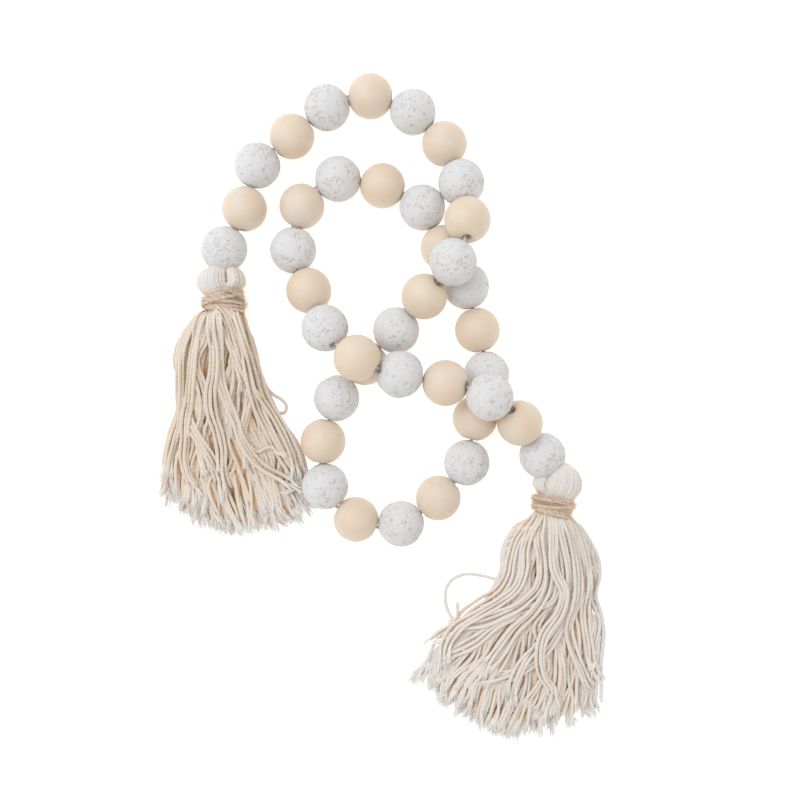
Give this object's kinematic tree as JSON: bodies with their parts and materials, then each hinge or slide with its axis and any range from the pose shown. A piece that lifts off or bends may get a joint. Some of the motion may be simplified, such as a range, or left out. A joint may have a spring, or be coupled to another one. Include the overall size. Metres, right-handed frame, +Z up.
{
  "type": "stone and wood bead garland",
  "caption": "Garland of porous stone and round wooden beads on a cotton cord, with a jute-bound cotton tassel at each end, lying in crossing loops.",
  "frame": {"origin": "on the surface that the garland rests on, under the middle of its box", "axes": "+Z up off the surface, +Y along the garland's length towards its upper loop, +X towards the right-hand tassel"},
  "size_m": [0.208, 0.2983, 0.0398],
  "materials": {
    "white_stone": "matte, pitted",
    "bare_wood": "smooth, unvarnished",
    "natural_cotton": "matte twisted yarn",
    "jute_twine": "coarse, hairy twine"
  },
  "bodies": {
    "root": {"stone_bead_01": "white_stone", "wood_bead_02": "bare_wood", "stone_bead_03": "white_stone", "wood_bead_04": "bare_wood", "stone_bead_05": "white_stone", "wood_bead_06": "bare_wood", "stone_bead_07": "white_stone", "wood_bead_08": "bare_wood", "stone_bead_09": "white_stone", "wood_bead_10": "bare_wood", "stone_bead_11": "white_stone", "wood_bead_12": "bare_wood", "stone_bead_13": "white_stone", "wood_bead_14": "bare_wood", "stone_bead_15": "white_stone", "wood_bead_16": "bare_wood", "stone_bead_17": "white_stone", "wood_bead_18": "bare_wood", "stone_bead_19": "white_stone", "wood_bead_20": "bare_wood", "stone_bead_21": "white_stone", "wood_bead_22": "bare_wood", "stone_bead_23": "white_stone", "wood_bead_24": "bare_wood", "stone_bead_25": "white_stone", "wood_bead_26": "bare_wood", "stone_bead_27": "white_stone", "wood_bead_28": "bare_wood", "stone_bead_29": "white_stone", "wood_bead_30": "bare_wood", "stone_bead_31": "white_stone", "wood_bead_32": "bare_wood", "stone_bead_33": "white_stone", "wood_bead_34": "bare_wood", "stone_bead_35": "white_stone", "wood_bead_36": "bare_wood", "stone_bead_37": "white_stone", "wood_bead_38": "bare_wood", "stone_bead_39": "white_stone", "stringing_cord": "natural_cotton", "tassel_left": "natural_cotton", "tassel_right": "natural_cotton", "binding_left": "jute_twine", "binding_right": "jute_twine"}
  },
  "joints": []
}
